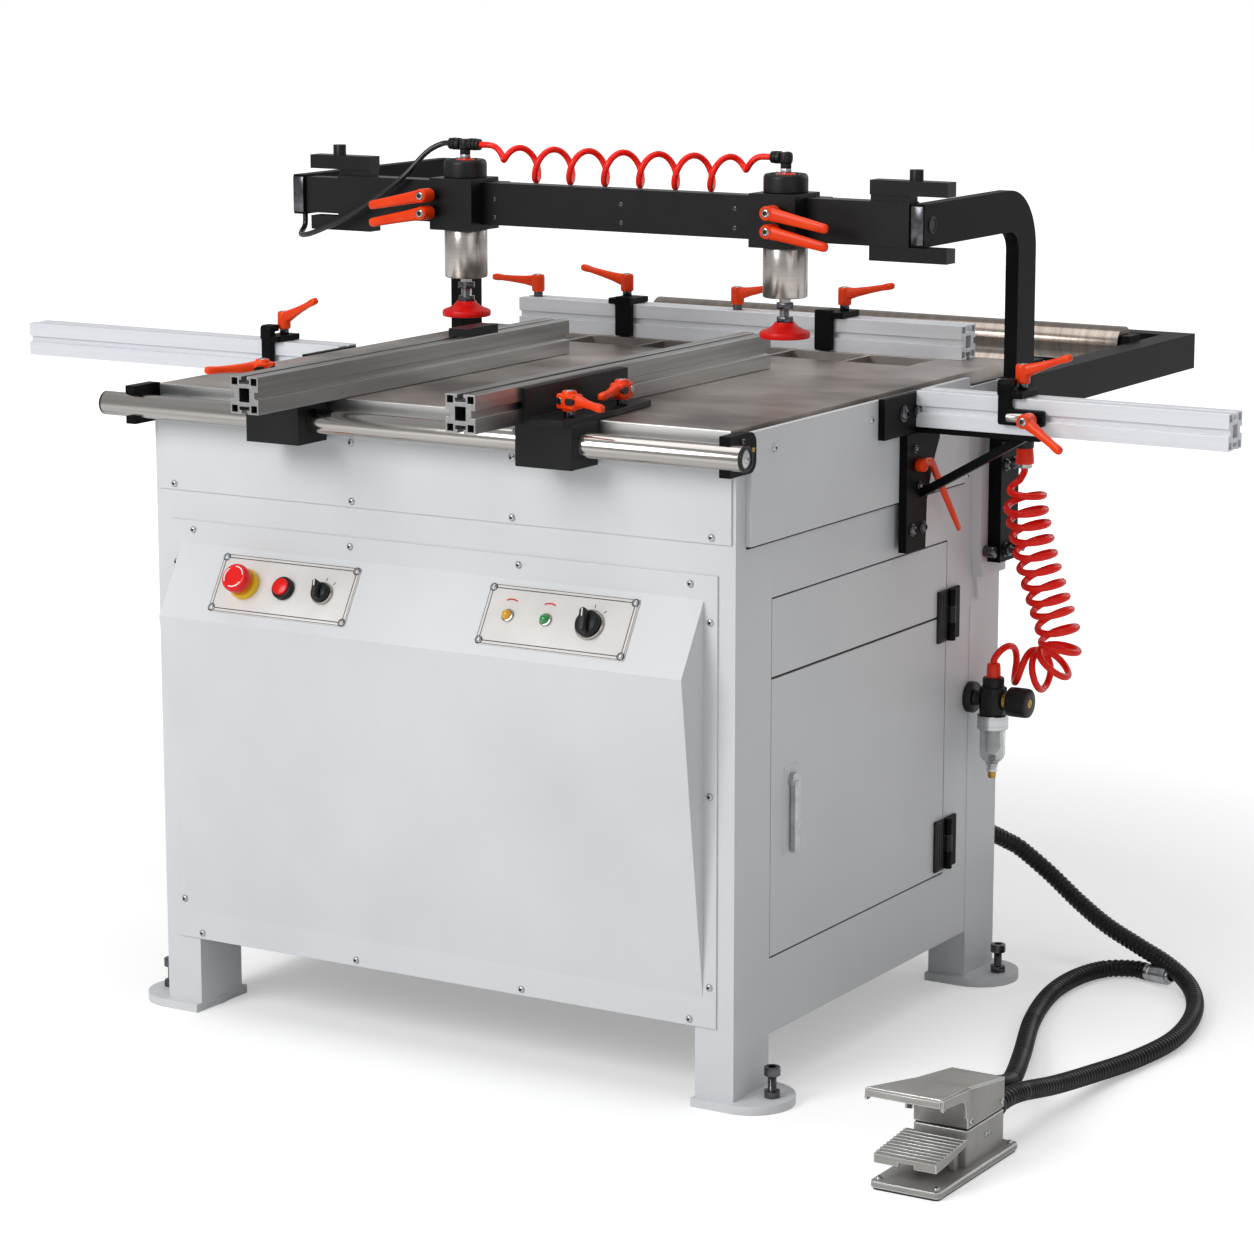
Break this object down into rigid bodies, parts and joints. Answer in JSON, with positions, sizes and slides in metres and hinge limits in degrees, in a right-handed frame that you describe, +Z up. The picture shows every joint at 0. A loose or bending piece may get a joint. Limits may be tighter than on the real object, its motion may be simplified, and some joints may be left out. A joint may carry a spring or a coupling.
{
  "type": "line boring machine",
  "caption": "Single-row line boring machine for woodworking with table fences, pneumatic hold-down beam, rear roller frame, control plates and foot pedal.",
  "frame": {"origin": "floor level under the middle of the overall footprint", "axes": "+X to the right seen from the operator's side, +Y from the operator towards the rear roller frame, +Z up"},
  "size_m": [2.02, 1.643, 1.2202],
  "materials": {
    "cabinet_paint": "satin off-white powder coat",
    "black_paint": "satin black powder coat",
    "frame_paint": "dark grey paint",
    "table_steel": "ground steel plate",
    "bright_steel": "polished steel bar",
    "zinc_steel": "zinc-plated steel",
    "fence_alloy": "anodised aluminium extrusion",
    "alloy": "turned aluminium",
    "orange_plastic": "glossy orange",
    "red_plastic": "glossy red",
    "red_tube": "glossy red polyurethane tube",
    "red_rubber": "moulded red pad",
    "black_plastic": "matte black",
    "plate_plastic": "satin light grey",
    "clear_bowl": "clear moulded bowl",
    "pedal_alloy": "sand-cast and tumbled",
    "hose_plastic": "ribbed dark plastic",
    "head_iron": "painted casting",
    "drill_steel": "ground tool steel"
  },
  "bodies": {
    "machine": {"base_frame": "cabinet_paint", "fasteners": "zinc_steel", "cabinet_panels": "cabinet_paint", "front_cover": "cabinet_paint", "table_top": "table_steel", "front_rail": "bright_steel", "brackets": "black_paint", "press_arms": "black_paint", "press_beam": "black_paint", "fixed_fences": "fence_alloy", "roller_frame": "frame_paint", "regulator_body": "black_plastic", "filter_bowl": "clear_bowl", "air_coil": "red_tube", "control_plates": "plate_plastic", "pedal_body": "pedal_alloy", "pedal_hoses": "hose_plastic", "press_air_lines": "red_tube", "door_hinges": "black_paint"},
    "door": {"door": "cabinet_paint"},
    "door_latch": {"door_latch": "zinc_steel"},
    "front_roller": {"front_roller": "bright_steel"},
    "rear_roller": {"rear_roller": "bright_steel"},
    "regulator_knob": {"regulator_knob": "black_plastic"},
    "drill_head": {"drill_head": "head_iron", "drill_spindles": "drill_steel"},
    "pedal_treadle": {"pedal_treadle": "pedal_alloy"},
    "estop_button": {"estop_button": "red_plastic"},
    "start_button": {"start_button": "red_plastic"},
    "left_selector": {"left_selector": "black_plastic"},
    "right_selector": {"right_selector": "black_plastic"},
    "left_fence": {"left_fence": "fence_alloy", "left_rail_block": "black_paint"},
    "left_fence_lever": {"left_fence_lever": "orange_plastic"},
    "right_fence": {"right_fence": "fence_alloy", "right_rail_block": "black_paint"},
    "right_fence_lever_front": {"right_fence_lever_front": "orange_plastic"},
    "right_fence_lever_rear": {"right_fence_lever_rear": "orange_plastic"},
    "left_carriage": {"left_carriage": "black_paint", "left_cylinder": "alloy"},
    "left_press_foot": {"left_press_foot": "red_rubber"},
    "left_lever_upper": {"left_lever_upper": "orange_plastic"},
    "left_lever_lower": {"left_lever_lower": "orange_plastic"},
    "right_carriage": {"right_carriage": "black_paint", "right_cylinder": "alloy"},
    "right_press_foot": {"right_press_foot": "red_rubber"},
    "right_lever_upper": {"right_lever_upper": "orange_plastic"},
    "right_lever_lower": {"right_lever_lower": "orange_plastic"},
    "left_stop": {"left_stop": "black_paint"},
    "left_stop_lever": {"left_stop_lever": "orange_plastic"},
    "right_stop": {"right_stop": "black_paint"},
    "right_stop_lever": {"right_stop_lever": "orange_plastic"},
    "right_clamp_lever": {"right_clamp_lever": "orange_plastic"},
    "rear_stop_left": {"rear_stop_left": "black_paint"},
    "rear_stop_left_lever": {"rear_stop_left_lever": "orange_plastic"},
    "rear_stop_right": {"rear_stop_right": "black_paint"},
    "rear_stop_right_lever": {"rear_stop_right_lever": "orange_plastic"},
    "rear_fence_lever_left": {"rear_fence_lever_left": "orange_plastic"},
    "rear_fence_lever_right": {"rear_fence_lever_right": "orange_plastic"},
    "bracket_lever": {"bracket_lever": "orange_plastic"}
  },
  "joints": [
    {"name": "door_swing", "type": "hinge", "parent": "machine", "child": "door", "pos_m": [0.541, -0.0145, 0.427], "axis": [0, 0, 1], "range_deg": [0, 100]},
    {"name": "door_latch_turn", "type": "hinge", "parent": "door", "child": "door_latch", "pos_m": [0.541, -0.4745, 0.416], "axis": [1, 0, 0], "range_deg": [0, 90]},
    {"name": "front_roller_spin", "type": "hinge", "parent": "machine", "child": "front_roller", "pos_m": [0.07, 0.3225, 0.872], "axis": [1, 0, 0], "continuous": true},
    {"name": "rear_roller_spin", "type": "hinge", "parent": "machine", "child": "rear_roller", "pos_m": [0.07, 0.6775, 0.872], "axis": [1, 0, 0], "continuous": true},
    {"name": "regulator_knob_turn", "type": "hinge", "parent": "machine", "child": "regulator_knob", "pos_m": [0.616, 0.0575, 0.43], "axis": [1, 0, 0], "continuous": true},
    {"name": "drill_feed", "type": "slide", "parent": "machine", "child": "drill_head", "axis": [0, 0, 1], "range_m": [0, 0.06]},
    {"name": "treadle_press", "type": "hinge", "parent": "machine", "child": "pedal_treadle", "pos_m": [0.875, -0.7145, 0.042], "axis": [1, 0, 0], "range_deg": [0, 8], "stiffness_Nm_per_rad": 4, "springref_deg": -8.02},
    {"name": "estop_press", "type": "slide", "parent": "machine", "child": "estop_button", "axis": [0, 0.8586, -0.5126], "range_m": [0, 0.005], "stiffness_N_per_m": 400, "springref_m": -0.003},
    {"name": "start_press", "type": "slide", "parent": "machine", "child": "start_button", "axis": [0, 0.8586, -0.5126], "range_m": [0, 0.004], "stiffness_N_per_m": 300, "springref_m": -0.003},
    {"name": "left_selector_turn", "type": "hinge", "parent": "machine", "child": "left_selector", "pos_m": [-0.09, -0.6555, 0.63425], "axis": [0, -0.8586, 0.5126], "range_deg": [0, 60]},
    {"name": "right_selector_turn", "type": "hinge", "parent": "machine", "child": "right_selector", "pos_m": [0.336, -0.6555, 0.63425], "axis": [0, -0.8586, 0.5126], "range_deg": [0, 60]},
    {"name": "left_fence_slide", "type": "slide", "parent": "machine", "child": "left_fence", "axis": [1, 0, 0], "range_m": [-0.1, 0.15]},
    {"name": "right_fence_slide", "type": "slide", "parent": "machine", "child": "right_fence", "axis": [1, 0, 0], "range_m": [-0.12, 0.1]},
    {"name": "left_fence_lever_turn", "type": "hinge", "parent": "left_fence", "child": "left_fence_lever", "pos_m": [-0.1545, -0.6965, 0.9215], "axis": [0, 0, 1], "range_deg": [-60, 25]},
    {"name": "right_fence_lever_front_turn", "type": "hinge", "parent": "right_fence", "child": "right_fence_lever_front", "pos_m": [0.316, -0.6735, 0.9085], "axis": [0, 0, 1], "range_deg": [-30, 45]},
    {"name": "right_fence_lever_rear_turn", "type": "hinge", "parent": "right_fence", "child": "right_fence_lever_rear", "pos_m": [0.316, -0.5435, 0.9085], "axis": [0, 0, 1], "range_deg": [0, 60]},
    {"name": "left_carriage_slide", "type": "slide", "parent": "machine", "child": "left_carriage", "axis": [1, 0, 0], "range_m": [-0.12, 0], "deforming": ["press_air_lines"]},
    {"name": "right_carriage_slide", "type": "slide", "parent": "machine", "child": "right_carriage", "axis": [1, 0, 0], "range_m": [-0.06, 0.08], "deforming": ["press_air_lines"]},
    {"name": "left_press_stroke", "type": "slide", "parent": "left_carriage", "child": "left_press_foot", "axis": [0, 0, -1], "range_m": [0, 0.05], "stiffness_N_per_m": 500, "springref_m": -0.02},
    {"name": "right_press_stroke", "type": "slide", "parent": "right_carriage", "child": "right_press_foot", "axis": [0, 0, -1], "range_m": [0, 0.05], "stiffness_N_per_m": 500, "springref_m": -0.02},
    {"name": "left_lever_upper_turn", "type": "hinge", "parent": "left_carriage", "child": "left_lever_upper", "pos_m": [-0.182, -0.2455, 1.1425], "axis": [0, 1, 0], "range_deg": [0, 60]},
    {"name": "left_lever_lower_turn", "type": "hinge", "parent": "left_carriage", "child": "left_lever_lower", "pos_m": [-0.182, -0.2455, 1.1175], "axis": [0, 1, 0], "range_deg": [-60, 0]},
    {"name": "right_lever_upper_turn", "type": "hinge", "parent": "right_carriage", "child": "right_lever_upper", "pos_m": [0.382, -0.2455, 1.1425], "axis": [0, 1, 0], "range_deg": [-60, 0]},
    {"name": "right_lever_lower_turn", "type": "hinge", "parent": "right_carriage", "child": "right_lever_lower", "pos_m": [0.382, -0.2455, 1.1175], "axis": [0, 1, 0], "range_deg": [0, 60]},
    {"name": "left_stop_slide", "type": "slide", "parent": "machine", "child": "left_stop", "axis": [1, 0, 0], "range_m": [-0.3, 0.05]},
    {"name": "left_stop_lever_turn", "type": "hinge", "parent": "left_stop", "child": "left_stop_lever", "pos_m": [-0.53, -0.136, 0.9093], "axis": [0, 0, 1], "range_deg": [-60, 60]},
    {"name": "right_stop_slide", "type": "slide", "parent": "machine", "child": "right_stop", "axis": [1, 0, 0], "range_m": [-0.08, 0.22]},
    {"name": "right_stop_lever_turn", "type": "hinge", "parent": "right_stop", "child": "right_stop_lever", "pos_m": [0.702, -0.136, 0.9093], "axis": [0, 0, 1], "range_deg": [-60, 60]},
    {"name": "right_clamp_lever_turn", "type": "hinge", "parent": "right_stop", "child": "right_clamp_lever", "pos_m": [0.734, -0.1698, 0.875], "axis": [0, 1, 0], "range_deg": [-30, 40]},
    {"name": "rear_stop_left_slide", "type": "slide", "parent": "machine", "child": "rear_stop_left", "axis": [1, 0, 0], "range_m": [-0.06, 0.1]},
    {"name": "rear_stop_left_lever_turn", "type": "hinge", "parent": "rear_stop_left", "child": "rear_stop_left_lever", "pos_m": [-0.118, 0.187, 0.9593], "axis": [0, 0, 1], "range_deg": [-60, 60]},
    {"name": "rear_stop_right_slide", "type": "slide", "parent": "machine", "child": "rear_stop_right", "axis": [1, 0, 0], "range_m": [-0.04, 0.12]},
    {"name": "rear_stop_right_lever_turn", "type": "hinge", "parent": "rear_stop_right", "child": "rear_stop_right_lever", "pos_m": [0.258, 0.187, 0.9593], "axis": [0, 0, 1], "range_deg": [-60, 60]},
    {"name": "rear_fence_lever_left_turn", "type": "hinge", "parent": "machine", "child": "rear_fence_lever_left", "pos_m": [-0.279, 0.187, 0.95], "axis": [0, 0, 1], "range_deg": [-60, 60]},
    {"name": "rear_fence_lever_right_turn", "type": "hinge", "parent": "machine", "child": "rear_fence_lever_right", "pos_m": [0.076, 0.187, 0.95], "axis": [0, 0, 1], "range_deg": [-60, 60]},
    {"name": "bracket_lever_turn", "type": "hinge", "parent": "machine", "child": "bracket_lever", "pos_m": [0.555, -0.1555, 0.797], "axis": [1, 0, 0], "range_deg": [0, 40]}
  ]
}
